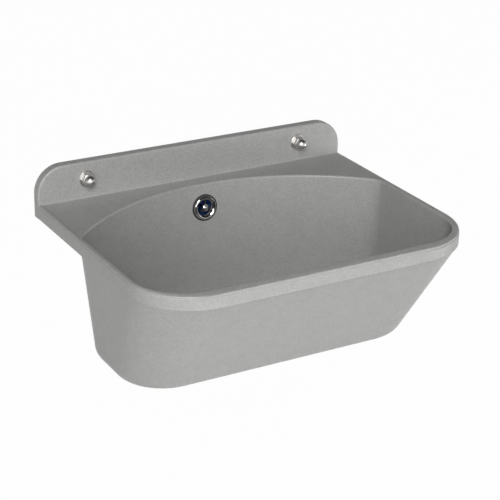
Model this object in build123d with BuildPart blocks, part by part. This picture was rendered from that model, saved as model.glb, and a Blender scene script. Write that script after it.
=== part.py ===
from build123d import *
from math import cos, pi, radians, sin, sqrt, tan
import os

# Wall-mounted sink with splashback, overflow and waste, in millimetres.
# The origin lies on the wall, midway between the two wall fixings. +Y points into the wall, +Z is up.
# "Depth" counts down from the top of the deck, so the deck lies at deck_z.

# Basin, overall
overall_width = 500.0
projection = 390.0  # wall to the middle of the front rim
front_bow = 0.5  # how far the front of the skirt bulges in the middle
deck_below_fixings = 29.0
splash_rise = 54.7  # deck to the top of the splashback
bowl_drop = 188.5  # deck to the underside of the bowl
wall = 5.0

# Rim and skirt
rim_width = 9.0  # at the sides
front_rim_width = 13.2  # in the middle of the front
rim_bow = 6.0  # the rim is this much narrower in the middle of the front than beside its corners
rim_corner_radius = 74.0  # inside of the rim, at the front corners
skirt_height = 20.0
skirt_corner_radius = 90.0
skirt_wall = 5.0
lip_height = 3.5  # the raised lip on top of the skirt
lip_inset = 0.5
lip_round = 1.6
skirt_round = 0.8
bowl_edge_round = 2.8
front_step = 3.4  # the skirt stands proud of the front wall
side_step = 0.2
skirt_foot_round = 1.0

# Bowl
front_lean = 32.9  # degrees off the vertical
bottom_half_width = 226.4
bottom_front_corner_radius = 73.5
deck_arc_apex = 39.8  # wall to the inside of the bowl, at the middle of the arc
deck_arc_radius = 333.0
bottom_arc_radius = 355.0
back_lean = 6.0
deck_back_corner_radius = 18.0  # inside, where the bowl meets the deck
floor_back_corner_radius = 75.0  # inside, at the floor
back_corner_radius = 70.0  # outside, at the deck
bottom_back_corner_radius = 60.0  # outside, at the bottom
bottom_round = 25.0

# Splashback
splash_thickness = 14.2
splash_corner_radius = 40.0
splash_edge_round = 3.0
crease_round = 2.0
splash_rib_pitch = 58.0
splash_rib_count = 7
shelf_hollow_length = 190.0
shelf_rib_spots = (75.0, 140.0, 200.0)
shelf_rib_length = 160.0
rib_thickness = 3.0

# Wall fixings, M10
stud_spacing = 350.0
stud_radius = 5.0  # wood thread, in the wall
thread_radius = 4.9  # metric thread, on the room side of the wall
stud_behind_wall = 40.0
stud_point = 7.0
stud_tip_radius = 0.8
fixing_boss_radius = 14.0
fixing_hole_radius = 7.0
sleeve_clearance = 0.2
bolt_clearance = 0.3
thread_clearance = 0.05
washer_radius = 12.0
washer_thickness = 2.0
washer_chamfer = 0.6
nut_across_flats = 17.0
nut_hex_height = 8.0
nut_corner_chamfer = 0.9
nut_dome_radius = 8.0
nut_height = 18.0
nut_thread_depth = 13.0
thread_end_gap = 1.0

# Overflow
overflow_depth = 36.5  # deck to the middle of the overflow
overflow_hole_radius = 14.5
overflow_seat_depth = 0.8  # flat seat cut into the curved wall
overflow_seat_margin = 0.6
overflow_boss_height = 1.2
overflow_boss_radius = 24.0
rosette_radius = 18.0
rosette_height = 3.2
rosette_crest_radius = 16.2
rosette_dish_radius = 12.6
rosette_plate_thickness = 1.4
rosette_outer_bulge = 0.64  # how far the rim's outer side bulges
rosette_dish_bulge = 0.4
rosette_hub_bulge = 0.24
rosette_hub_radius = 5.4
rosette_hub_height = 2.4
kidney_inner_radius = 6.2
kidney_outer_radius = 12.2
kidney_web = 2.6
kidney_count = 3
seal_thickness = 1.5
front_seal_radius = 20.0
rear_seal_thickness = 3.0
rear_seal_radius = 23.0
elbow_cup_radius = 17.0
elbow_cup_length = 22.0
elbow_flange_thickness = 3.0
elbow_wall = 2.5
elbow_boss_radius = 5.0
elbow_boss_length = 15.0
elbow_spigot_depth = 78.0  # deck to the end of the spigot
overflow_screw_radius = 2.5
overflow_screw_head_radius = 4.0
overflow_screw_head_height = 1.6
overflow_screw_slot = 1.0

# Union joints, the same at both ends of the overflow pipe
cuff_radius = 10.3
pipe_bore_radius = 8.4
socket_clearance = 0.3
socket_radius = 13.0
cuff_depth = 10.0
cone_depth = 2.0
cone_width = 1.8
cone_seal_clearance = 0.1
cone_seal_height = 3.0  # the part of the seal that stands out of the socket
union_nut_radius = 16.5
union_nut_skirt = 11.0
union_nut_lip = 3.0
union_nut_grips = 12
union_nut_grip_radius = 1.4

# Overflow pipe
rib_root_radius = 9.8
rib_crest_radius = 12.0
rib_pitch = 8.5
rib_crest_share = 0.3  # crest, as a share of the pitch
rib_flank_share = 0.15
pipe_bend_radius = 40.0
plain_cuff = 13.0  # plain end of the pipe outside its socket

# Waste, G 1 1/2
waste_distance = 140.0  # wall to the middle of the waste
waste_hole_radius = 27.5
recess_depth = 5.0
recess_radius = 37.0
recess_slope_width = 9.0
pad_radius = 44.0
flange_radius = 35.0
flange_edge_round = 1.0
sheet = 1.5
cup_top_radius = 25.0
cup_bottom_radius = 21.5
cup_depth = 14.0
strainer_hole_radius = 2.6
strainer_ring_radii = (9.5, 16.0)
strainer_ring_counts = (6, 12)
upper_seal_thickness = 1.5
upper_seal_radius = 34.0
lower_seal_thickness = 3.0
lower_seal_radius = 37.5
body_flange_thickness = 4.0
body_radius = 30.0
body_wall = 3.0
outlet_radius = 23.9
outlet_length = 11.5
outlet_wall = 3.5
inlet_drop = 22.0  # underside of the bowl to the middle of the side inlet
inlet_reach = 50.0  # middle of the waste to the mouth of the side inlet
below_inlet = 0.5  # the chamber reaches this much below the inlet's socket
spider_boss_radius = 7.0
spider_gap = 1.5
spider_length = 18.0
spider_web = 3.0
spider_web_height = 9.0
spider_webs = 3
waste_screw_radius = 3.0
waste_screw_head_radius = 6.0
waste_screw_head_height = 3.0
waste_screw_slot = 1.4
waste_screw_length = 20.0
insert_radius = 4.5
insert_length = 8.0

# Plug
plug_clearance = 0.3
plug_height = 9.0
plug_top_radius = 28.5
plug_top_thickness = 3.0
plug_edge_round = 1.0
grip_height = 13.0
grip_width = 16.0
grip_thickness = 4.0
grip_edge_round = 0.8

# Faces and edges are picked within this distance of where they lie
near = 0.1

# Worked out from the sizes above
deck_z = -deck_below_fixings
half_width = overall_width / 2
skirt_z = deck_z - skirt_height
underside_z = deck_z - bowl_drop
floor_depth = bowl_drop - wall
floor_z = deck_z - floor_depth
front_slope = tan(radians(front_lean))
back_slope = tan(radians(back_lean))
wall_across_front = wall / cos(radians(front_lean))
inner_front = projection - front_rim_width
knee_depth = skirt_height + (projection - front_step - wall_across_front - inner_front) / front_slope


def save(piece, name):
    """gives the finished piece its name and writes it"""
    piece.part.label = name
    export_step(piece.part, f"parts/{name}.step")


def between(top, bottom, share):
    return top + (bottom - top) * share


def rim_outline(depth, inset):
    """outline of the rim seen from above, drawn inside the skirt by inset"""
    side = half_width - inset
    front = inset - projection
    with BuildSketch(Plane.XY.offset(deck_z - depth)) as rim:
        with BuildLine():
            Polyline((-side, front + front_bow), (-side, 0), (side, 0), (side, front + front_bow))
            ThreePointArc((side, front + front_bow), (0, front), (-side, front + front_bow))
        make_face()
        fillet(rim.vertices().group_by(Axis.Y)[0], skirt_corner_radius - inset)
    return rim.sketch


def bowl_outline(depth, side, front, bow, front_radius, apex, arc_radius, back_radius):
    """outline of the bowl at one level: bowed front, straight sides, arched back"""
    corner = -apex - arc_radius + sqrt(arc_radius**2 - side**2)
    with BuildSketch(Plane.XY.offset(deck_z - depth)) as bowl:
        with BuildLine():
            Line((-side, corner), (-side, bow - front))
            ThreePointArc((-side, bow - front), (0, -front), (side, bow - front))
            Line((side, bow - front), (side, corner))
            ThreePointArc((side, corner), (0, -apex), (-side, corner))
        make_face()
        fillet(bowl.vertices().group_by(Axis.Y)[0], front_radius)
        fillet(bowl.vertices().group_by(Axis.Y)[-1], back_radius)
    return bowl.sketch


def outer_level(depth):
    """outside of the bowl at a depth below the deck"""
    below_skirt = max(0.0, depth - skirt_height)
    share = below_skirt / (bowl_drop - skirt_height)
    share_back = depth / bowl_drop
    return bowl_outline(
        depth,
        side=between(half_width - side_step, bottom_half_width, share),
        front=projection - front_step - front_slope * below_skirt,
        bow=front_bow,
        front_radius=between(skirt_corner_radius - front_step, bottom_front_corner_radius, share),
        apex=deck_arc_apex + back_slope * depth - wall / cos(radians(back_lean)),
        arc_radius=between(deck_arc_radius, bottom_arc_radius, share_back) + wall,
        back_radius=between(back_corner_radius, bottom_back_corner_radius, share_back),
    )


def inner_level(depth):
    """inside of the bowl at a depth below the deck"""
    below_knee = max(0.0, depth - knee_depth)
    above_knee = max(0.0, knee_depth - depth)
    share = below_knee / (floor_depth - knee_depth)
    share_side = depth / floor_depth
    return bowl_outline(
        depth,
        side=between(half_width - rim_width, bottom_half_width - wall, share_side),
        front=inner_front - front_slope * below_knee,
        bow=front_bow + rim_bow * above_knee / knee_depth,
        front_radius=between(rim_corner_radius, bottom_front_corner_radius - wall, share),
        apex=deck_arc_apex + back_slope * depth,
        arc_radius=between(deck_arc_radius, bottom_arc_radius, share_side),
        back_radius=between(deck_back_corner_radius, floor_back_corner_radius, share_side),
    )


os.makedirs("parts", exist_ok=True)

# The overflow sits square to the leaning back wall. "Out" is the way it faces, into the bowl.
overflow_out = Vector(0, -cos(radians(back_lean)), sin(radians(back_lean)))
overflow_spot = Vector(0, -deck_arc_apex - back_slope * overflow_depth, deck_z - overflow_depth)
overflow_axis = Axis(overflow_spot, overflow_out)
overflow_face = Plane(origin=overflow_spot, x_dir=(1, 0, 0), z_dir=overflow_out)
# In overflow_section, X is the distance from the axis and Y is the way out.
overflow_section = Plane(origin=overflow_spot, x_dir=(1, 0, 0), z_dir=Vector(1, 0, 0).cross(overflow_out))
wall_back = -overflow_seat_depth - wall - overflow_boss_height
rosette_base = seal_thickness - overflow_seat_depth
elbow_front = wall_back - rear_seal_thickness
elbow_back = elbow_front - elbow_flange_thickness - elbow_cup_length
elbow_middle = elbow_back + elbow_cup_length / 2

waste_axis = Axis((0, -waste_distance, 0), (0, 0, 1))
# In waste_section, X is the distance from the axis and Y is the height.
waste_section = Plane(origin=(0, -waste_distance, 0), x_dir=(1, 0, 0), z_dir=(0, -1, 0))
recess_z = floor_z - recess_depth
pad_z = recess_z - wall
flange_z = recess_z + upper_seal_thickness + sheet  # top of the waste flange
cup_floor_z = flange_z - cup_depth
body_z = pad_z - lower_seal_thickness  # top of the waste body
inlet_z = underside_z - inlet_drop

# Basin: the outside of the bowl
with BuildPart() as bowl_outside:
    loft([outer_level(depth) for depth in (lip_height, skirt_height, bowl_drop)], ruled=True)
    fillet(bowl_outside.faces().sort_by(Axis.Z)[0].edges(), bottom_round)

# Basin: the space inside the bowl
with BuildPart() as bowl_inside:
    loft([inner_level(depth) for depth in (0, knee_depth, floor_depth)], ruled=True)
    fillet(bowl_inside.faces().sort_by(Axis.Z)[0].edges(), bottom_round - wall)

# Basin: the splashback, rounded along its front edge
with BuildPart() as splashback:
    with BuildSketch(Plane.XZ) as splash_profile:
        with Locations((0, deck_z + splash_rise)):
            Rectangle(overall_width, splash_rise + skirt_height, align=(Align.CENTER, Align.MAX))
        fillet(splash_profile.vertices().group_by(Axis.Y)[-1], splash_corner_radius)
    extrude(amount=splash_thickness)
    front_edges = splashback.faces().sort_by(Axis.Y)[0].edges()
    fillet(front_edges.sort_by(Axis.Z)[1:], splash_edge_round)

with BuildPart() as basin:
    # Deck plate: skirt with a rounded shoulder, and the lip on it
    extrude(rim_outline(skirt_height, 0), amount=skirt_height - lip_height)
    fillet(basin.faces().sort_by(Axis.Z)[-1].edges().sort_by(Axis.Y)[:-1], skirt_round)
    fillet(basin.faces().sort_by(Axis.Z)[0].edges().sort_by(Axis.Y)[:-1], skirt_foot_round)
    extrude(rim_outline(lip_height, lip_inset), amount=lip_height)
    fillet(basin.faces().sort_by(Axis.Z)[-1].edges().sort_by(Axis.Y)[:-1], lip_round)
    add(splashback.part)
    crease = basin.edges().filter_by(Axis.X).filter_by_position(Axis.Z, deck_z - near, deck_z + near)
    crease = crease.filter_by_position(Axis.Y, -splash_thickness - near, -splash_thickness + near)
    fillet(crease, crease_round)

    # Underside of the deck, hollow inside the skirt behind the bowl
    with BuildSketch(Plane.XY.offset(skirt_z)):
        with Locations((0, -skirt_wall)):
            Rectangle(
                overall_width - 2 * skirt_wall,
                shelf_hollow_length,
                align=(Align.CENTER, Align.MAX),
            )
    extrude(amount=skirt_height - wall, mode=Mode.SUBTRACT)

    # Back of the splashback, hollow towards the wall
    with BuildSketch(Plane.XZ) as splash_hollow:
        with Locations((0, deck_z + splash_rise - wall)):
            Rectangle(
                overall_width - 2 * wall,
                splash_rise - 2 * wall,
                align=(Align.CENTER, Align.MAX),
            )
        fillet(splash_hollow.vertices().group_by(Axis.Y)[-1], splash_corner_radius - wall)
    extrude(amount=splash_thickness - wall, mode=Mode.SUBTRACT)

    # Ribs and fixing bosses in that hollow
    with BuildSketch(Plane.XZ):
        with Locations((0, deck_z)):
            with GridLocations(splash_rib_pitch, 0, splash_rib_count, 1):
                Rectangle(rib_thickness, splash_rise - wall / 2, align=(Align.CENTER, Align.MIN))
        with Locations((-stud_spacing / 2, 0), (stud_spacing / 2, 0)):
            Circle(fixing_boss_radius)
    extrude(amount=splash_thickness - wall / 2)

    # Ribs under the corner shelves
    with BuildSketch(Plane.XY.offset(skirt_z + skirt_foot_round)):
        with Locations(*[(side * spot, -skirt_wall / 2) for spot in shelf_rib_spots for side in (-1, 1)]):
            Rectangle(rib_thickness, shelf_rib_length, align=(Align.CENTER, Align.MAX))
    extrude(amount=skirt_height - wall)

    # The bowl, and the boss and pad where overflow and waste are clamped
    add(bowl_outside.part)
    with BuildSketch(overflow_face.offset(wall_back)):
        Circle(overflow_boss_radius)
    extrude(amount=wall)
    with BuildSketch(Plane.XY.offset(pad_z)):
        with Locations((0, -waste_distance)):
            Circle(pad_radius)
    extrude(amount=recess_depth + wall / 2)
    add(bowl_inside.part, mode=Mode.SUBTRACT)

    # Rounded edge where deck and rim turn down into the bowl
    deck_face = basin.faces().filter_by(Axis.Z).filter_by_position(Axis.Z, deck_z - near, deck_z + near)
    fillet(deck_face.sort_by(SortBy.AREA)[-1].inner_wires()[0].edges(), bowl_edge_round)

    # Holes for the wall fixings
    with BuildSketch(Plane.XZ):
        with Locations((-stud_spacing / 2, 0), (stud_spacing / 2, 0)):
            Circle(fixing_hole_radius)
    extrude(amount=splash_thickness, mode=Mode.SUBTRACT)

    # Overflow hole and its flat seat
    with BuildSketch(overflow_face.offset(-overflow_seat_depth)):
        Circle(front_seal_radius + overflow_seat_margin)
    extrude(amount=wall, mode=Mode.SUBTRACT)
    with BuildSketch(overflow_face.offset(wall_back)):
        Circle(overflow_hole_radius)
    extrude(amount=2 * wall, mode=Mode.SUBTRACT)

    # Dished recess in the floor, and the waste hole
    with BuildSketch(waste_section):
        with BuildLine():
            Polyline(
                (0, recess_z),
                (recess_radius, recess_z),
                (recess_radius + recess_slope_width, floor_z),
                (0, floor_z),
                close=True,
            )
        make_face()
    revolve(axis=waste_axis, mode=Mode.SUBTRACT)
    with BuildSketch(Plane.XY.offset(pad_z)):
        with Locations((0, -waste_distance)):
            Circle(waste_hole_radius)
    extrude(amount=wall, mode=Mode.SUBTRACT)

save(basin, "basin")


def section_through(face):
    """the plane through a face's axis: X is the distance from the axis, Y is the way the face looks"""
    return Plane(origin=face.origin, x_dir=face.x_dir, z_dir=face.x_dir.cross(face.z_dir))


def cap_radius(foot_radius, height):
    """radius of the sphere that a low domed head is part of"""
    return (foot_radius**2 + height**2) / (2 * height)


def turned(plane, axis, points):
    """a ring turned from its half section"""
    with BuildPart() as ring:
        with BuildSketch(plane):
            with BuildLine():
                Polyline(*points, close=True)
            make_face()
        revolve(axis=axis)
    return ring


# Wall fixings: hanger bolt in a plastic sleeve, washer and cap nut
stud_end = splash_thickness + washer_thickness + nut_thread_depth - thread_end_gap
nut_corner_radius = nut_across_flats / sqrt(3)
for side, word in ((-1, "left"), (1, "right")):
    spot = (side * stud_spacing / 2, 0, 0)
    fixing_axis = Axis(spot, (0, -1, 0))
    # In fixing_section, X is the distance from the axis and Y is the distance from the wall.
    fixing_face = Plane(origin=spot, x_dir=(1, 0, 0), z_dir=(0, -1, 0))
    fixing_section = section_through(fixing_face)

    bolt = turned(fixing_section, fixing_axis, [
        (0, -stud_behind_wall),
        (stud_tip_radius, -stud_behind_wall),
        (stud_radius, stud_point - stud_behind_wall),
        (stud_radius, 0),
        (thread_radius, 0),
        (thread_radius, stud_end),
        (0, stud_end),
    ])
    save(bolt, f"hanger_bolt_{word}")

    sleeve = turned(fixing_section, fixing_axis, [
        (stud_radius + bolt_clearance, 0),
        (fixing_hole_radius - sleeve_clearance, 0),
        (fixing_hole_radius - sleeve_clearance, splash_thickness),
        (stud_radius + bolt_clearance, splash_thickness),
    ])
    save(sleeve, f"fixing_sleeve_{word}")

    washer = turned(fixing_section, fixing_axis, [
        (stud_radius + bolt_clearance, splash_thickness),
        (washer_radius, splash_thickness),
        (washer_radius, splash_thickness + washer_thickness - washer_chamfer),
        (washer_radius - washer_chamfer, splash_thickness + washer_thickness),
        (stud_radius + bolt_clearance, splash_thickness + washer_thickness),
    ])
    save(washer, f"fixing_washer_{word}")

    with BuildPart() as cap_nut:
        with BuildSketch(fixing_face.offset(splash_thickness + washer_thickness)):
            RegularPolygon(nut_across_flats / 2, 6, major_radius=False)
        extrude(amount=nut_hex_height)
        with BuildSketch(fixing_section):
            with BuildLine():
                nut_foot = splash_thickness + washer_thickness
                Polyline(
                    (0, nut_foot),
                    (nut_corner_radius - nut_corner_chamfer, nut_foot),
                    (nut_corner_radius, nut_foot + nut_corner_chamfer / 2),
                    (nut_corner_radius, nut_foot + nut_hex_height - nut_corner_chamfer),
                    (nut_dome_radius, nut_foot + nut_hex_height),
                    (0, nut_foot + nut_hex_height),
                    close=True,
                )
            make_face()
        revolve(axis=fixing_axis, mode=Mode.INTERSECT)
        with BuildSketch(fixing_section):
            with BuildLine():
                dome_foot = nut_foot + nut_height - nut_dome_radius
                dome_top = nut_foot + nut_height
                dome_root = nut_foot + nut_hex_height / 2  # inside the hexagon
                Polyline((0, dome_top), (0, dome_root), (nut_dome_radius, dome_root))
                Line((nut_dome_radius, dome_root), (nut_dome_radius, dome_foot))
                RadiusArc((nut_dome_radius, dome_foot), (0, dome_top), -nut_dome_radius)
            make_face()
        revolve(axis=fixing_axis)
        with BuildSketch(fixing_face.offset(nut_foot)):
            Circle(thread_radius + thread_clearance)
        extrude(amount=nut_thread_depth, mode=Mode.SUBTRACT)
    save(cap_nut, f"cap_nut_{word}")

# Overflow, seen from the bowl: seal, rosette with its kidney holes, screw
front_seal = turned(overflow_section, overflow_axis, [
    (overflow_hole_radius, -overflow_seat_depth),
    (front_seal_radius, -overflow_seat_depth),
    (front_seal_radius, rosette_base),
    (overflow_hole_radius, rosette_base),
])
save(front_seal, "overflow_front_seal")

with BuildPart() as rosette:
    with BuildSketch(overflow_section):
        with BuildLine():
            plate = rosette_base + rosette_plate_thickness
            crest = rosette_base + rosette_height
            hub = rosette_base + rosette_hub_height
            screw_hole = overflow_screw_radius + thread_clearance
            Polyline((screw_hole, hub), (screw_hole, rosette_base), (rosette_radius, rosette_base))
            SagittaArc((rosette_radius, rosette_base), (rosette_crest_radius, crest), -rosette_outer_bulge)
            SagittaArc((rosette_crest_radius, crest), (rosette_dish_radius, plate), -rosette_dish_bulge)
            Line((rosette_dish_radius, plate), (rosette_hub_radius, plate))
            SagittaArc((rosette_hub_radius, plate), (screw_hole, hub), rosette_hub_bulge)
        make_face()
    revolve(axis=overflow_axis)
    with BuildSketch(overflow_face) as kidneys:
        Circle(kidney_outer_radius)
        Circle(kidney_inner_radius, mode=Mode.SUBTRACT)
        with PolarLocations(kidney_outer_radius / 2, kidney_count, start_angle=90):
            Rectangle(kidney_outer_radius + kidney_web, kidney_web, mode=Mode.SUBTRACT)
    extrude(amount=2 * rosette_height, mode=Mode.SUBTRACT)
save(rosette, "overflow_rosette")

with BuildPart() as overflow_screw:
    with BuildSketch(overflow_section):
        with BuildLine():
            tip = elbow_back + elbow_wall + thread_end_gap
            head = hub + overflow_screw_head_height
            Polyline((0, head), (0, tip), (overflow_screw_radius, tip), (overflow_screw_radius, hub))
            Line((overflow_screw_radius, hub), (overflow_screw_head_radius, hub))
            dome = cap_radius(overflow_screw_head_radius, overflow_screw_head_height)
            RadiusArc((overflow_screw_head_radius, hub), (0, head), -dome)
        make_face()
    revolve(axis=overflow_axis)
    with BuildSketch(overflow_face.offset(head)):
        Rectangle(2 * overflow_screw_head_radius, overflow_screw_slot)
    extrude(amount=-overflow_screw_slot, mode=Mode.SUBTRACT)
save(overflow_screw, "overflow_screw")

# Overflow, behind the wall: seal and elbow
rear_seal = turned(overflow_section, overflow_axis, [
    (overflow_hole_radius, wall_back),
    (rear_seal_radius, wall_back),
    (rear_seal_radius, elbow_front),
    (overflow_hole_radius, elbow_front),
])
save(rear_seal, "overflow_rear_seal")

# The pipe hangs straight down from the middle of the elbow's cup.
pipe_y = (overflow_spot + overflow_out * elbow_middle).Y
spigot_z = deck_z - elbow_spigot_depth
socket_bore = cuff_radius + socket_clearance
cone_mouth = socket_bore + cone_width


def socket_tube(mouth, length):
    """outside of a socket for the pipe's cuff, its mouth facing along the plane's Z"""
    with BuildPart() as tube:
        with BuildSketch(mouth):
            Circle(socket_radius)
        extrude(amount=-length)
    return tube.part


def socket_hollow(mouth, length):
    """the space inside a socket: room for the cuff, a bore behind it, a cone at the mouth"""
    with BuildPart() as hollow:
        with BuildSketch(mouth):
            Circle(socket_bore)
        extrude(amount=-cuff_depth)
        with BuildSketch(mouth):
            Circle(pipe_bore_radius)
        extrude(amount=-length)
        with BuildSketch(section_through(mouth)):
            with BuildLine():
                Polyline((0, 0), (cone_mouth, 0), (socket_bore, -cone_depth), (0, -cone_depth), close=True)
            make_face()
        revolve(axis=Axis(mouth.origin, mouth.z_dir))
    return hollow.part


upper_mouth = Plane(origin=(0, pipe_y, spigot_z), x_dir=(1, 0, 0), z_dir=(0, 0, -1))
spigot_length = elbow_spigot_depth - overflow_depth
with BuildPart() as elbow:
    with BuildSketch(overflow_face.offset(elbow_back)):
        Circle(elbow_cup_radius)
    extrude(amount=elbow_front - elbow_back)
    with BuildSketch(overflow_face.offset(elbow_front)):
        Circle(rear_seal_radius)
    extrude(amount=-elbow_flange_thickness)
    add(socket_tube(upper_mouth, spigot_length))
    with BuildSketch(overflow_face.offset(elbow_back + elbow_wall)):
        Circle(elbow_cup_radius - elbow_wall)
    extrude(amount=elbow_front - elbow_back, mode=Mode.SUBTRACT)
    add(socket_hollow(upper_mouth, spigot_length), mode=Mode.SUBTRACT)
    with BuildSketch(overflow_face.offset(elbow_back)):
        Circle(elbow_boss_radius)
    extrude(amount=elbow_boss_length)
    with BuildSketch(overflow_face.offset(elbow_back + elbow_wall)):
        Circle(overflow_screw_radius + thread_clearance)
    extrude(amount=elbow_boss_length, mode=Mode.SUBTRACT)
save(elbow, "overflow_elbow")

# Waste, in the bowl: seal, flange with its strainer cup, screw
upper_seal = turned(waste_section, waste_axis, [
    (waste_hole_radius, recess_z),
    (upper_seal_radius, recess_z),
    (upper_seal_radius, recess_z + upper_seal_thickness),
    (waste_hole_radius, recess_z + upper_seal_thickness),
])
save(upper_seal, "waste_upper_seal")

with BuildPart() as waste_flange:
    with BuildSketch(waste_section):
        with BuildLine():
            Polyline(
                (0, cup_floor_z),
                (cup_bottom_radius, cup_floor_z),
                (cup_top_radius, flange_z),
                (flange_radius, flange_z),
                (flange_radius, flange_z - sheet),
                (cup_top_radius + sheet, flange_z - sheet),
                (cup_bottom_radius + sheet, cup_floor_z - sheet),
                (0, cup_floor_z - sheet),
                close=True,
            )
        make_face()
    revolve(axis=waste_axis)
    fillet(waste_flange.edges().group_by(Axis.Z)[-1].sort_by(SortBy.RADIUS)[-1], flange_edge_round)
    with BuildSketch(Plane.XY.offset(cup_floor_z - sheet)):
        with Locations((0, -waste_distance)):
            Circle(waste_screw_radius + bolt_clearance)
            for ring_radius, count in zip(strainer_ring_radii, strainer_ring_counts):
                with PolarLocations(ring_radius, count):
                    Circle(strainer_hole_radius)
    extrude(amount=sheet, mode=Mode.SUBTRACT)
save(waste_flange, "waste_flange")

screw_head_z = cup_floor_z + waste_screw_head_height
with BuildPart() as waste_screw:
    with BuildSketch(waste_section):
        with BuildLine():
            Polyline(
                (0, screw_head_z),
                (0, screw_head_z - waste_screw_length),
                (waste_screw_radius, screw_head_z - waste_screw_length),
                (waste_screw_radius, cup_floor_z),
                (waste_screw_head_radius, cup_floor_z),
            )
            dome = cap_radius(waste_screw_head_radius, waste_screw_head_height)
            RadiusArc((waste_screw_head_radius, cup_floor_z), (0, screw_head_z), -dome)
        make_face()
    revolve(axis=waste_axis)
    with BuildSketch(Plane.XY.offset(screw_head_z)):
        with Locations((0, -waste_distance)):
            Rectangle(2 * waste_screw_head_radius, waste_screw_slot)
    extrude(amount=-waste_screw_slot, mode=Mode.SUBTRACT)
save(waste_screw, "waste_screw")

# Waste, under the bowl: seal, body with its side inlet, brass insert
lower_seal = turned(waste_section, waste_axis, [
    (waste_hole_radius, body_z),
    (lower_seal_radius, body_z),
    (lower_seal_radius, pad_z),
    (waste_hole_radius, pad_z),
])
save(lower_seal, "waste_lower_seal")

chamber_foot = inlet_z - socket_radius - below_inlet
outlet_foot = chamber_foot - outlet_length
spider_top = cup_floor_z - sheet - spider_gap
spider_foot = spider_top - spider_length
inlet_mouth_y = -waste_distance + inlet_reach
lower_mouth = Plane(origin=(0, inlet_mouth_y, inlet_z), x_dir=(1, 0, 0), z_dir=(0, 1, 0))
with BuildPart() as waste_body:
    with BuildSketch(waste_section):
        with BuildLine():
            Polyline(
                (0, outlet_foot),
                (outlet_radius, outlet_foot),
                (outlet_radius, chamber_foot),
                (body_radius, chamber_foot),
                (body_radius, body_z - body_flange_thickness),
                (lower_seal_radius, body_z - body_flange_thickness),
                (lower_seal_radius, body_z),
                (0, body_z),
                close=True,
            )
        make_face()
    revolve(axis=waste_axis)
    add(socket_tube(lower_mouth, inlet_reach))
    with BuildSketch(waste_section):
        with BuildLine():
            Polyline(
                (0, outlet_foot),
                (outlet_radius - outlet_wall, outlet_foot),
                (outlet_radius - outlet_wall, chamber_foot),
                (body_radius - body_wall, chamber_foot + outlet_wall),
                (body_radius - body_wall, body_z),
                (0, body_z),
                close=True,
            )
        make_face()
    revolve(axis=waste_axis, mode=Mode.SUBTRACT)
    add(socket_hollow(lower_mouth, inlet_reach), mode=Mode.SUBTRACT)
    with BuildSketch(Plane.XY.offset(spider_foot)):
        with Locations((0, -waste_distance)):
            Circle(spider_boss_radius)
    extrude(amount=spider_length)
    with BuildSketch(Plane.XY.offset(spider_foot)) as webs:
        with Locations((0, -waste_distance)):
            with PolarLocations((body_radius - body_wall / 2) / 2, spider_webs, start_angle=-90):
                Rectangle(body_radius - body_wall / 2, spider_web)
    extrude(amount=spider_web_height)
    with BuildSketch(Plane.XY.offset(spider_top)):
        with Locations((0, -waste_distance)):
            Circle(insert_radius + thread_clearance)
    extrude(amount=-spider_length + spider_web, mode=Mode.SUBTRACT)
save(waste_body, "waste_body")

insert_top = screw_head_z - waste_screw_length + insert_length
waste_insert = turned(waste_section, waste_axis, [
    (waste_screw_radius + thread_clearance, insert_top - insert_length),
    (insert_radius, insert_top - insert_length),
    (insert_radius, insert_top),
    (waste_screw_radius + thread_clearance, insert_top),
])
save(waste_insert, "waste_insert")


# Union joints: the cone seal sits in the socket's mouth, the nut presses it down round the cuff.
def cone_seal(mouth):
    inner = cuff_radius + cone_seal_clearance
    sunk = cone_depth - cone_seal_clearance
    return turned(section_through(mouth), Axis(mouth.origin, mouth.z_dir), [
        (inner, -sunk),
        (socket_bore + cone_width * cone_seal_clearance / cone_depth, -sunk),
        (cone_mouth, 0),
        (socket_radius, 0),
        (socket_radius, cone_seal_height),
        (inner, cone_seal_height),
    ])


def union_nut(mouth):
    with BuildPart() as nut:
        with BuildSketch(mouth.offset(-union_nut_skirt)):
            Circle(union_nut_radius)
            with PolarLocations(union_nut_radius, union_nut_grips):
                Circle(union_nut_grip_radius, mode=Mode.SUBTRACT)
        extrude(amount=union_nut_skirt + cone_seal_height + union_nut_lip)
        with BuildSketch(mouth.offset(-union_nut_skirt)):
            Circle(socket_radius + thread_clearance)
        extrude(amount=union_nut_skirt + cone_seal_height, mode=Mode.SUBTRACT)
        with BuildSketch(mouth):
            Circle(socket_bore)
        extrude(amount=union_nut_skirt, mode=Mode.SUBTRACT)
    return nut


for mouth, word in ((upper_mouth, "upper"), (lower_mouth, "lower")):
    save(cone_seal(mouth), f"cone_seal_{word}")
    save(union_nut(mouth), f"union_nut_{word}")

# Overflow pipe: plain cuffs, ribbed between them, down behind the bowl and round to the waste
pipe_top = spigot_z + cuff_depth - socket_clearance
pipe_end = inlet_mouth_y - cuff_depth + socket_clearance
bend_top = inlet_z + pipe_bend_radius
bend_end = pipe_y - pipe_bend_radius
down_run = pipe_top - bend_top
bend_run = pipe_bend_radius * pi / 2
pipe_run = down_run + bend_run + bend_end - pipe_end
cuff_run = cuff_depth + plain_cuff
rib_count = int((pipe_run - 2 * cuff_run) / rib_pitch)
first_rib = (pipe_run - rib_count * rib_pitch) / 2


def pipe_circle(run, radius):
    """cross-section of the pipe after a run along its middle line, its X axis always level"""
    turn = min(max(run - down_run, 0.0), bend_run) / pipe_bend_radius
    past_bend = max(run - down_run - bend_run, 0.0)
    before_bend = min(run, down_run)
    middle = (
        0,
        pipe_y - pipe_bend_radius * (1 - cos(turn)) - past_bend,
        pipe_top - before_bend - pipe_bend_radius * sin(turn),
    )
    with BuildSketch(Plane(origin=middle, x_dir=(1, 0, 0), z_dir=(0, -sin(turn), -cos(turn)))) as circle:
        Circle(radius)
    return circle.sketch


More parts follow.
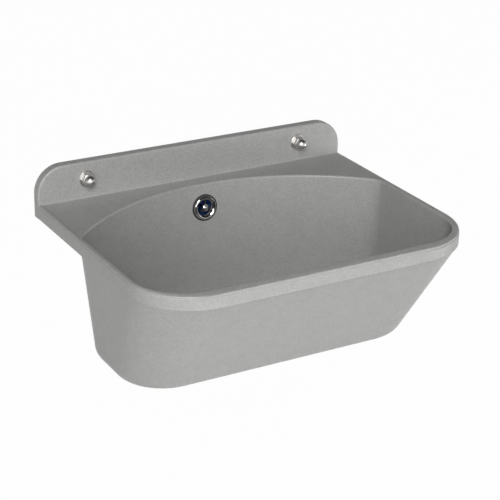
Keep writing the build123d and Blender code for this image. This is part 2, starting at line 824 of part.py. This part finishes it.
rib_profile = (
    (0, rib_root_radius),
    (rib_flank_share, rib_crest_radius),
    (rib_flank_share + rib_crest_share, rib_crest_radius),
    (2 * rib_flank_share + rib_crest_share, rib_root_radius),
)
with BuildPart() as overflow_pipe:
    rings = [pipe_circle(0, cuff_radius), pipe_circle(cuff_run, cuff_radius)]
    for rib in range(rib_count):
        for share, radius in rib_profile:
            rings.append(pipe_circle(first_rib + (rib + share) * rib_pitch, radius))
    rings += [pipe_circle(pipe_run - cuff_run, cuff_radius), pipe_circle(pipe_run, cuff_radius)]
    loft(rings, ruled=True)
    with BuildLine() as pipe_path:
        pipe_points = ((0, pipe_y, pipe_top), (0, pipe_y, inlet_z), (0, pipe_end, inlet_z))
        FilletPolyline(*pipe_points, radius=pipe_bend_radius)
    with BuildSketch(Plane(origin=(0, pipe_y, pipe_top), x_dir=(1, 0, 0), z_dir=(0, 0, -1))):
        Circle(pipe_bore_radius)
    sweep(path=pipe_path.line, mode=Mode.SUBTRACT)
save(overflow_pipe, "overflow_pipe")

# Drain plug with its grip
plug_foot = flange_z - plug_height
cup_slope = (cup_top_radius - cup_bottom_radius) / cup_depth
with BuildPart() as drain_plug:
    with BuildSketch(waste_section):
        with BuildLine():
            Polyline(
                (0, plug_foot),
                (cup_top_radius - plug_clearance - plug_height * cup_slope, plug_foot),
                (cup_top_radius - plug_clearance, flange_z),
                (plug_top_radius, flange_z),
                (plug_top_radius, flange_z + plug_top_thickness),
                (0, flange_z + plug_top_thickness),
                close=True,
            )
        make_face()
    revolve(axis=waste_axis)
    fillet(drain_plug.edges().group_by(Axis.Z)[-1], plug_edge_round)
    grip_plane = Plane(origin=(0, -waste_distance, flange_z), x_dir=(1, 0, 0), z_dir=(0, -1, 0))
    with BuildSketch(grip_plane) as grip:
        with Locations((0, plug_top_thickness / 2)):
            Rectangle(grip_width, grip_height + plug_top_thickness / 2, align=(Align.CENTER, Align.MIN))
        fillet(grip.vertices().group_by(Axis.Y)[-1], grip_width / 2 - grip_edge_round)
    extrude(amount=grip_thickness / 2, both=True)
save(drain_plug, "drain_plug")
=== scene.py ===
from math import cos, pi, radians, sin

import bmesh
import bpy
from mathutils import Matrix, Vector


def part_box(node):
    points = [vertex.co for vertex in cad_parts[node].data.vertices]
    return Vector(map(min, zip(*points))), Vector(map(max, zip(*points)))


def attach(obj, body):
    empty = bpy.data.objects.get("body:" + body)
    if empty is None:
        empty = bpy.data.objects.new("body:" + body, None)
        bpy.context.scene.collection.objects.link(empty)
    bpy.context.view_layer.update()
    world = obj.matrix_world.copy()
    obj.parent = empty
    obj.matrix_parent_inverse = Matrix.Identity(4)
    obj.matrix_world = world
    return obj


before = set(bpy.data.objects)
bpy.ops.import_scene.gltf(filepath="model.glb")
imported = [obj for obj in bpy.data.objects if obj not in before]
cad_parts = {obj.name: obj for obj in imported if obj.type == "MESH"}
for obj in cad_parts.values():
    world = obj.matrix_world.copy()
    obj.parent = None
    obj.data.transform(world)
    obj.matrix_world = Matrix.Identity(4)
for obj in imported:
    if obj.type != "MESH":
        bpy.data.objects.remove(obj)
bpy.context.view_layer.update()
print("sink loaded:", len(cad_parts), "pieces")

scene = bpy.context.scene
scene.view_settings.view_transform = "Standard"

# camera, at the place that the photo was taken from; metres and degrees
cameraSpot = {
    "place": (-1.03272, -1.96766, 0.80755),
    "turned": -30.01,  # round Z, from looking along +Y
    "down": 23.294,
    "tilt": 1.181,
    "lens": 114.770,
}


def placeCamera():
    data = bpy.data.cameras.new("photo_camera")
    data.lens = cameraSpot["lens"]
    data.sensor_width = 36
    camera = bpy.data.objects.new("photo_camera", data)
    scene.collection.objects.link(camera)
    turn = Matrix.Rotation(radians(cameraSpot["turned"]), 4, "Z")
    pitch = Matrix.Rotation(pi / 2 - radians(cameraSpot["down"]), 4, "X")
    tilt = Matrix.Rotation(radians(cameraSpot["tilt"]), 4, "Z")
    camera.matrix_world = Matrix.Translation(cameraSpot["place"]) @ turn @ pitch @ tilt
    scene.camera = camera


placeCamera()
print("camera placed")

# studio: soft boxes aimed at the basin, a pale floor below it, white round it
aimSpot = Vector((0, -0.2, -0.1))
lamps = {
    "key_box": {"place": (-1.18, -2.25, 1.75), "size": (1.2, 1.2), "power": 60},
    "left_box": {"place": (-2.07, -2.27, 0.52), "size": (1.2, 1.2), "power": 16},
    "front_box": {"place": (-0.26, -3.12, 0.52), "size": (1.2, 1.2), "power": 15},
    "low_box": {"place": (0.0, -3.1, -0.8), "size": (1.2, 1.2), "power": 15},
    "low_right_box": {"place": (2.51, -1.65, -0.8), "size": (1.2, 1.2), "power": 34},
}
studio = {
    "floorHeight": -0.88,  # the deck hangs 0.85 m over it
    "floorSize": 14.0,
    "floorColour": (0.8, 0.8, 0.8, 1),
    "floorGlow": 0.985,  # share of plain white in what the camera sees of the floor
    "ambient": 0.02,
    "ceilingStart": 10,  # degrees over the horizon where the white fades
    "ceilingFull": 28,
}


def placeLamps():
    for name, lamp in lamps.items():
        data = bpy.data.lights.new(name, "AREA")
        data.shape = "RECTANGLE"
        data.size, data.size_y = lamp["size"]
        data.energy = lamp["power"]
        box = bpy.data.objects.new(name, data)
        scene.collection.objects.link(box)
        place = Vector(lamp["place"])
        aim = (aimSpot - place).to_track_quat("-Z", "Y").to_matrix().to_4x4()
        box.matrix_world = Matrix.Translation(place) @ aim


def seenDirectly(nodes, links):
    # 1 where the camera, a mirror or glass looks straight at it
    path = nodes.new("ShaderNodeLightPath")
    mirrored = larger(nodes, links, path.outputs["Is Glossy Ray"], path.outputs["Is Transmission Ray"])
    return path.outputs["Is Camera Ray"], mirrored


def larger(nodes, links, first, second):
    node = nodes.new("ShaderNodeMath")
    node.operation = "MAXIMUM"
    links.new(first, node.inputs[0])
    links.new(second, node.inputs[1])
    return node.outputs[0]


def lightWorld():
    world = bpy.data.worlds.new("studio_world")
    world.use_nodes = True
    scene.world = world
    nodes, links = world.node_tree.nodes, world.node_tree.links
    nodes.clear()
    ambient = nodes.new("ShaderNodeBackground")
    ambient.inputs["Color"].default_value = (1, 1, 1, 1)
    ambient.inputs["Strength"].default_value = studio["ambient"]
    white = nodes.new("ShaderNodeBackground")
    white.inputs["Color"].default_value = (1, 1, 1, 1)
    white.inputs["Strength"].default_value = 1.0
    # mirrors see white round the sink and a dim ceiling over it
    place = nodes.new("ShaderNodeTexCoord")
    split = nodes.new("ShaderNodeSeparateXYZ")
    links.new(place.outputs["Generated"], split.inputs[0])
    low = nodes.new("ShaderNodeMapRange")
    low.inputs["From Min"].default_value = sin(radians(studio["ceilingStart"]))
    low.inputs["From Max"].default_value = sin(radians(studio["ceilingFull"]))
    low.inputs["To Min"].default_value = 1.0
    low.inputs["To Max"].default_value = 0.0
    links.new(split.outputs["Z"], low.inputs["Value"])
    direct, mirrored = seenDirectly(nodes, links)
    mirroredWhite = nodes.new("ShaderNodeMath")
    mirroredWhite.operation = "MULTIPLY"
    links.new(mirrored, mirroredWhite.inputs[0])
    links.new(low.outputs["Result"], mirroredWhite.inputs[1])
    mix = nodes.new("ShaderNodeMixShader")
    links.new(larger(nodes, links, direct, mirroredWhite.outputs[0]), mix.inputs["Fac"])
    links.new(ambient.outputs[0], mix.inputs[1])
    links.new(white.outputs[0], mix.inputs[2])
    out = nodes.new("ShaderNodeOutputWorld")
    links.new(mix.outputs[0], out.inputs["Surface"])


def layFloor():
    half = studio["floorSize"] / 2
    bm = bmesh.new()
    bmesh.ops.create_circle(bm, cap_ends=True, segments=96, radius=half)
    mesh = bpy.data.meshes.new("studio_floor")
    bm.to_mesh(mesh)
    bm.free()
    floor = bpy.data.objects.new("studio_floor", mesh)
    floor.location = (0, 0, studio["floorHeight"])
    scene.collection.objects.link(floor)
    material = bpy.data.materials.new("floor_paper")
    material.use_nodes = True
    nodes, links = material.node_tree.nodes, material.node_tree.links
    nodes.clear()
    paper = nodes.new("ShaderNodeBsdfDiffuse")
    paper.inputs["Color"].default_value = studio["floorColour"]
    glow = nodes.new("ShaderNodeEmission")
    glow.inputs["Color"].default_value = (1, 1, 1, 1)
    glow.inputs["Strength"].default_value = 1.0
    share = nodes.new("ShaderNodeMath")
    share.operation = "MULTIPLY"
    share.inputs[1].default_value = studio["floorGlow"]
    links.new(larger(nodes, links, *seenDirectly(nodes, links)), share.inputs[0])
    mix = nodes.new("ShaderNodeMixShader")
    links.new(share.outputs[0], mix.inputs["Fac"])
    links.new(paper.outputs[0], mix.inputs[1])
    links.new(glow.outputs[0], mix.inputs[2])
    out = nodes.new("ShaderNodeOutputMaterial")
    links.new(mix.outputs[0], out.inputs["Surface"])
    mesh.materials.append(material)


placeLamps()
lightWorld()
layFloor()
print("studio lit")


# small helpers for material nodes
def newMaterial(name):
    material = bpy.data.materials.new(name)
    material.use_nodes = True
    shader = material.node_tree.nodes["Principled BSDF"]
    return material, material.node_tree.nodes, material.node_tree.links, shader


def noiseOf(nodes, links, scale, detail=2.0, stretch=(1, 1, 1)):
    # noise in the sink's own coordinates, scale in repeats per metre
    place = nodes.new("ShaderNodeTexCoord")
    mapping = nodes.new("ShaderNodeMapping")
    mapping.inputs["Scale"].default_value = stretch
    noise = nodes.new("ShaderNodeTexNoise")
    noise.inputs["Scale"].default_value = scale
    noise.inputs["Detail"].default_value = detail
    links.new(place.outputs["Object"], mapping.inputs["Vector"])
    links.new(mapping.outputs["Vector"], noise.inputs["Vector"])
    return noise.outputs["Fac"]


def spread(nodes, links, value, low, high, fromLow=0.3, fromHigh=0.7):
    # stretches a noise value over a wanted range
    node = nodes.new("ShaderNodeMapRange")
    node.inputs["From Min"].default_value = fromLow
    node.inputs["From Max"].default_value = fromHigh
    node.inputs["To Min"].default_value = low
    node.inputs["To Max"].default_value = high
    links.new(value, node.inputs["Value"])
    return node.outputs["Result"]


def mixColours(nodes, links, amount, first, second):
    # first and second are colours or outputs
    node = nodes.new("ShaderNodeMix")
    node.data_type = "RGBA"
    links.new(amount, node.inputs["Factor"])
    for end, colour in ((6, first), (7, second)):
        if isinstance(colour, tuple):
            node.inputs[end].default_value = (*colour, 1)
        else:
            links.new(colour, node.inputs[end])
    return node.outputs[2]


def bumpOf(nodes, links, shader, height, distance, strength=1.0):
    bump = nodes.new("ShaderNodeBump")
    bump.inputs["Strength"].default_value = strength
    bump.inputs["Distance"].default_value = distance
    links.new(height, bump.inputs["Height"])
    links.new(bump.outputs["Normal"], shader.inputs["Normal"])


# basin: grey plastic with fine dark and light flecks, satin
basinLook = {
    "colour": (0.40, 0.399, 0.391),
    "cloudColour": (0.37, 0.369, 0.361),
    "darkFleck": (0.17, 0.169, 0.164),
    "lightFleck": (0.58, 0.579, 0.57),
    "fleckSize": 0.0011,
    "darkShare": 0.34,  # how near a fleck's middle the dark starts, in cell sizes
    "lightShare": 0.30,
    "roughness": (0.34, 0.44),
    "grainDepth": 0.00004,
}


def flecks(nodes, links, size, reach, offset):
    # 1 in the middle of scattered flecks, 0 between them
    place = nodes.new("ShaderNodeTexCoord")
    mapping = nodes.new("ShaderNodeMapping")
    mapping.inputs["Location"].default_value = offset
    cells = nodes.new("ShaderNodeTexVoronoi")
    cells.inputs["Scale"].default_value = 1 / size
    links.new(place.outputs["Object"], mapping.inputs["Vector"])
    links.new(mapping.outputs["Vector"], cells.inputs["Vector"])
    return spread(nodes, links, cells.outputs["Distance"], 1.0, 0.0, reach * 0.6, reach)


def graniteMaterial():
    material, nodes, links, shader = newMaterial("granite_plastic")
    cloud = spread(nodes, links, noiseOf(nodes, links, 60, 3), 0.0, 1.0)
    base = mixColours(nodes, links, cloud, basinLook["colour"], basinLook["cloudColour"])
    dark = flecks(nodes, links, basinLook["fleckSize"], basinLook["darkShare"], (0, 0, 0))
    base = mixColours(nodes, links, dark, base, basinLook["darkFleck"])
    light = flecks(nodes, links, basinLook["fleckSize"] * 1.3, basinLook["lightShare"], (0.3, 0.1, 0.7))
    base = mixColours(nodes, links, light, base, basinLook["lightFleck"])
    links.new(base, shader.inputs["Base Color"])
    grain = noiseOf(nodes, links, 1400, 2)
    links.new(spread(nodes, links, grain, *basinLook["roughness"]), shader.inputs["Roughness"])
    bumpOf(nodes, links, shader, grain, basinLook["grainDepth"])
    return material


# chrome plating: bright on the rosette and its screw, softer on the washers and cap nuts
chromeLooks = {
    "bright_chrome": {
        "colour": (0.68, 0.68, 0.68),
        "haze": (0.60, 0.60, 0.61),
        "roughness": (0.09, 0.17),
        "ripple": 0.00001,
    },
    "soft_chrome": {
        "colour": (0.62, 0.61, 0.59),
        "haze": (0.53, 0.52, 0.51),
        "roughness": (0.34, 0.42),
        "ripple": 0.00002,
    },
}


def chromeMaterial(name):
    look = chromeLooks[name]
    material, nodes, links, shader = newMaterial(name)
    haze = noiseOf(nodes, links, 220, 4)
    links.new(mixColours(nodes, links, haze, look["colour"], look["haze"]), shader.inputs["Base Color"])
    shader.inputs["Metallic"].default_value = 1.0
    links.new(spread(nodes, links, haze, *look["roughness"]), shader.inputs["Roughness"])
    bumpOf(nodes, links, shader, noiseOf(nodes, links, 900, 1), look["ripple"])
    return material


# plain metals: zinc-plated steel, brass
metalLooks = {
    "zinc_steel": {
        "colour": (0.60, 0.60, 0.57),
        "patch": (0.48, 0.49, 0.48),
        "roughness": (0.28, 0.45),
        "grain": 700,
        "depth": 0.00003,
    },
    "turned_brass": {
        "colour": (0.72, 0.52, 0.24),
        "patch": (0.60, 0.42, 0.18),
        "roughness": (0.22, 0.36),
        "grain": 900,
        "depth": 0.00002,
    },
}


def metalMaterial(name):
    look = metalLooks[name]
    material, nodes, links, shader = newMaterial(name)
    patches = spread(nodes, links, noiseOf(nodes, links, 160, 4), 0.0, 1.0)
    tint = mixColours(nodes, links, patches, look["colour"], look["patch"])
    links.new(tint, shader.inputs["Base Color"])
    shader.inputs["Metallic"].default_value = 1.0
    grain = noiseOf(nodes, links, look["grain"], 3)
    links.new(spread(nodes, links, grain, *look["roughness"]), shader.inputs["Roughness"])
    bumpOf(nodes, links, shader, grain, look["depth"])
    return material


# stainless flange, spun and brushed in rings round the waste
wasteMiddle = (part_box("waste_flange")[0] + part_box("waste_flange")[1]) / 2
stainlessLook = {
    "colour": (0.62, 0.62, 0.61),
    "dull": (0.50, 0.50, 0.50),
    "roughness": (0.20, 0.36),
    "brushPitch": 0.00035,
    "depth": 0.00002,
}


def stainlessMaterial():
    material, nodes, links, shader = newMaterial("brushed_stainless")
    place = nodes.new("ShaderNodeTexCoord")
    centred = nodes.new("ShaderNodeVectorMath")
    centred.operation = "SUBTRACT"
    centred.inputs[1].default_value = wasteMiddle
    links.new(place.outputs["Object"], centred.inputs[0])
    away = nodes.new("ShaderNodeVectorMath")
    away.operation = "LENGTH"
    links.new(centred.outputs[0], away.inputs[0])
    rings = nodes.new("ShaderNodeTexNoise")
    rings.noise_dimensions = "1D"
    rings.inputs["Scale"].default_value = 1 / stainlessLook["brushPitch"]
    rings.inputs["Detail"].default_value = 2.0
    links.new(away.outputs["Value"], rings.inputs["W"])
    tint = mixColours(nodes, links, rings.outputs["Fac"], stainlessLook["colour"], stainlessLook["dull"])
    links.new(tint, shader.inputs["Base Color"])
    shader.inputs["Metallic"].default_value = 1.0
    roughness = spread(nodes, links, rings.outputs["Fac"], *stainlessLook["roughness"])
    links.new(roughness, shader.inputs["Roughness"])
    bumpOf(nodes, links, shader, rings.outputs["Fac"], stainlessLook["depth"])
    return material


# rubbers and plastics: a colour, a second one in soft patches, and a moulded grain
mouldedLooks = {
    "black_rubber": {
        "colour": (0.022, 0.022, 0.023),
        "patch": (0.036, 0.035, 0.034),
        "roughness": (0.55, 0.72),
        "grain": 1500,
        "depth": 0.00005,
    },
    "navy_plastic": {
        "colour": (0.030, 0.105, 0.34),
        "patch": (0.042, 0.135, 0.42),
        "roughness": (0.22, 0.32),
        "grain": 900,
        "depth": 0.00002,
    },
    "white_plastic": {
        "colour": (0.78, 0.78, 0.75),
        "patch": (0.73, 0.73, 0.70),
        "roughness": (0.38, 0.50),
        "grain": 1100,
        "depth": 0.00003,
    },
    "nylon": {
        "colour": (0.70, 0.69, 0.62),
        "patch": (0.64, 0.63, 0.56),
        "roughness": (0.42, 0.55),
        "grain": 1000,
        "depth": 0.00003,
    },
}


def mouldedMaterial(name):
    look = mouldedLooks[name]
    material, nodes, links, shader = newMaterial(name)
    patches = spread(nodes, links, noiseOf(nodes, links, 90, 3), 0.0, 1.0)
    tint = mixColours(nodes, links, patches, look["colour"], look["patch"])
    links.new(tint, shader.inputs["Base Color"])
    grain = noiseOf(nodes, links, look["grain"], 2)
    links.new(spread(nodes, links, grain, *look["roughness"]), shader.inputs["Roughness"])
    bumpOf(nodes, links, shader, grain, look["depth"])
    return material


# the finishes, and the pieces that get them
finishes = {
    "granite_plastic": graniteMaterial(),
    "bright_chrome": chromeMaterial("bright_chrome"),
    "soft_chrome": chromeMaterial("soft_chrome"),
    "zinc_steel": metalMaterial("zinc_steel"),
    "stainless": stainlessMaterial(),
    "black_rubber": mouldedMaterial("black_rubber"),
    "navy_plastic": mouldedMaterial("navy_plastic"),
    "white_plastic": mouldedMaterial("white_plastic"),
    "nylon": mouldedMaterial("nylon"),
    "brass": metalMaterial("turned_brass"),
}
pieceFinish = {
    "granite_plastic": ["basin"],
    "bright_chrome": ["overflow_rosette", "overflow_screw"],
    "soft_chrome": ["fixing_washer_left", "fixing_washer_right", "cap_nut_left", "cap_nut_right"],
    "zinc_steel": ["hanger_bolt_left", "hanger_bolt_right"],
    "stainless": ["waste_flange", "waste_screw"],
    "black_rubber": ["overflow_front_seal", "overflow_rear_seal", "cone_seal_upper", "cone_seal_lower",
                     "waste_upper_seal", "waste_lower_seal", "drain_plug"],
    "navy_plastic": ["overflow_elbow"],
    "white_plastic": ["overflow_pipe", "union_nut_upper", "union_nut_lower", "waste_body"],
    "nylon": ["fixing_sleeve_left", "fixing_sleeve_right"],
    "brass": ["waste_insert"],
}


def dressPieces():
    for finish, pieces in pieceFinish.items():
        for name in pieces:
            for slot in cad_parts[name].material_slots:
                slot.link = "OBJECT"
                slot.material = finishes[finish]


dressPieces()
print("pieces dressed:", sum(len(pieces) for pieces in pieceFinish.values()))

# rounded bead on the rim, from one end of the splashback round the front to the other; metres
rimBead = {
    "deck": -0.029,  # the deck is this far below the wall fixings
    "back": -0.0137,  # its ends run into the face of the splashback
    "halfWidth": 0.25,
    "front": -0.39,
    "bow": 0.0005,
    "cornerRadius": 0.09,
    "inset": 0.00045,  # from the outside of the skirt
    "rise": 0.0009,  # over the deck
    "sideFoot": -0.0018,
    "frontFoot": -0.0013,
    "sideReach": 0.0078,  # from the skirt to where it meets the bowl's rounded edge
    "topShare": (0.45, 0.88),  # where its crown is, as a share of the reach, at the side and in front
    "drop": 0.0005,  # how far down that rounded edge it ends
    "depthInside": 0.0011,  # its underside is this deep in the rim
    "sharpAngle": 45,  # degrees
}
beadSteps = {"side": 94, "corner": 60, "front": 40, "outer": 10, "inner": 12}
# the search for the bowl's edge starts at a share of the reach at the side; metres
edgeSearch = {"startShare": 0.8, "step": 0.00025, "furthest": 0.03, "above": 0.01}


def leftStations():
    # spots on the skirt's outline, the way in from each, and 0 at the side to 1 at the front
    half, radius = rimBead["halfWidth"], rimBead["cornerRadius"]
    deck = rimBead["deck"]
    middle = Vector((radius - half, rimBead["front"] + rimBead["bow"] + radius, deck))
    stations = []
    for step in range(beadSteps["side"]):
        y = rimBead["back"] + (middle.y - rimBead["back"]) * step / beadSteps["side"]
        stations.append((Vector((-half, y, deck)), Vector((1, 0, 0)), 0.0))
    for step in range(beadSteps["corner"]):
        share = step / beadSteps["corner"]
        inward = Vector((cos(pi / 2 * share), sin(pi / 2 * share), 0))
        stations.append((middle - inward * radius, inward, share))
    for step in range(beadSteps["front"] + 1):
        share = 1 - step / beadSteps["front"]
        y = rimBead["front"] + rimBead["bow"] * share ** 2
        stations.append((Vector((middle.x * share, y, deck)), Vector((0, 1, 0)), 1.0))
    return stations


def reachIn(spot, inward):
    # how far in from the skirt the rim has started to fall into the bowl
    reach = rimBead["sideReach"] * edgeSearch["startShare"]
    while reach < edgeSearch["furthest"]:
        above = spot + inward * reach + Vector((0, 0, edgeSearch["above"]))
        hit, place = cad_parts["basin"].ray_cast(above, Vector((0, 0, -1)))[:2]
        if hit and place.z < spot.z - rimBead["drop"]:
            return reach
        reach += edgeSearch["step"]
    return rimBead["sideReach"]


def beadSection(reach, frontShare):
    # inward and upward sizes, up the outside, over the top, down to the bowl and back underneath
    inset, rise = rimBead["inset"], rimBead["rise"]
    foot = rimBead["sideFoot"] + (rimBead["frontFoot"] - rimBead["sideFoot"]) * frontShare
    sideShare, middleShare = rimBead["topShare"]
    top = reach * (sideShare + (middleShare - sideShare) * frontShare)
    section = []
    for step in range(beadSteps["outer"]):
        angle = pi / 2 * step / beadSteps["outer"]
        section.append((inset + (top - inset) * (1 - cos(angle)), foot + (rise - foot) * sin(angle)))
    for step in range(beadSteps["inner"] + 1):
        share = step / beadSteps["inner"]
        section.append((top + (reach - top) * share, rise - (rise + rimBead["drop"]) * share ** 2))
    section.append((reach - rimBead["drop"], -rimBead["drop"] - rimBead["depthInside"]))
    section.append((inset + rimBead["drop"], foot - rimBead["depthInside"]))
    return section


def averaged(values, width=3):
    # each value as the mean of itself and its neighbours
    last = len(values) - 1
    spans = [values[max(0, i - width):min(last, i + width) + 1] for i in range(last + 1)]
    return [sum(span) / len(span) for span in spans]


def layBead():
    left = leftStations()
    reaches = averaged([reachIn(spot, way) if share else rimBead["sideReach"] for spot, way, share in left])
    halves = [(spot, way, beadSection(reach, share)) for (spot, way, share), reach in zip(left, reaches)]
    mirror = Matrix.Diagonal((-1, 1, 1))
    others = [(mirror @ spot, mirror @ way, section) for spot, way, section in reversed(halves[:-1])]
    stations = halves + others
    bm = bmesh.new()
    rings = []
    for spot, inward, section in stations:
        rings.append([bm.verts.new(spot + inward * across + Vector((0, 0, up))) for across, up in section])
    for ring, following in zip(rings, rings[1:]):
        for i in range(len(ring)):
            j = (i + 1) % len(ring)
            bm.faces.new((ring[i], ring[j], following[j], following[i]))
    bm.faces.new(rings[0])
    bm.faces.new(rings[-1])
    bmesh.ops.recalc_face_normals(bm, faces=bm.faces)
    mesh = bpy.data.meshes.new("rim_bead")
    bm.to_mesh(mesh)
    bm.free()
    mesh.shade_smooth()
    mesh.set_sharp_from_angle(angle=radians(rimBead["sharpAngle"]))
    mesh.materials.append(finishes["granite_plastic"])
    bead = bpy.data.objects.new("rim_bead", mesh)
    scene.collection.objects.link(bead)
    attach(bead, "sink")
    print("bead laid:", len(stations), "stations")


bpy.context.view_layer.update()
layBead()
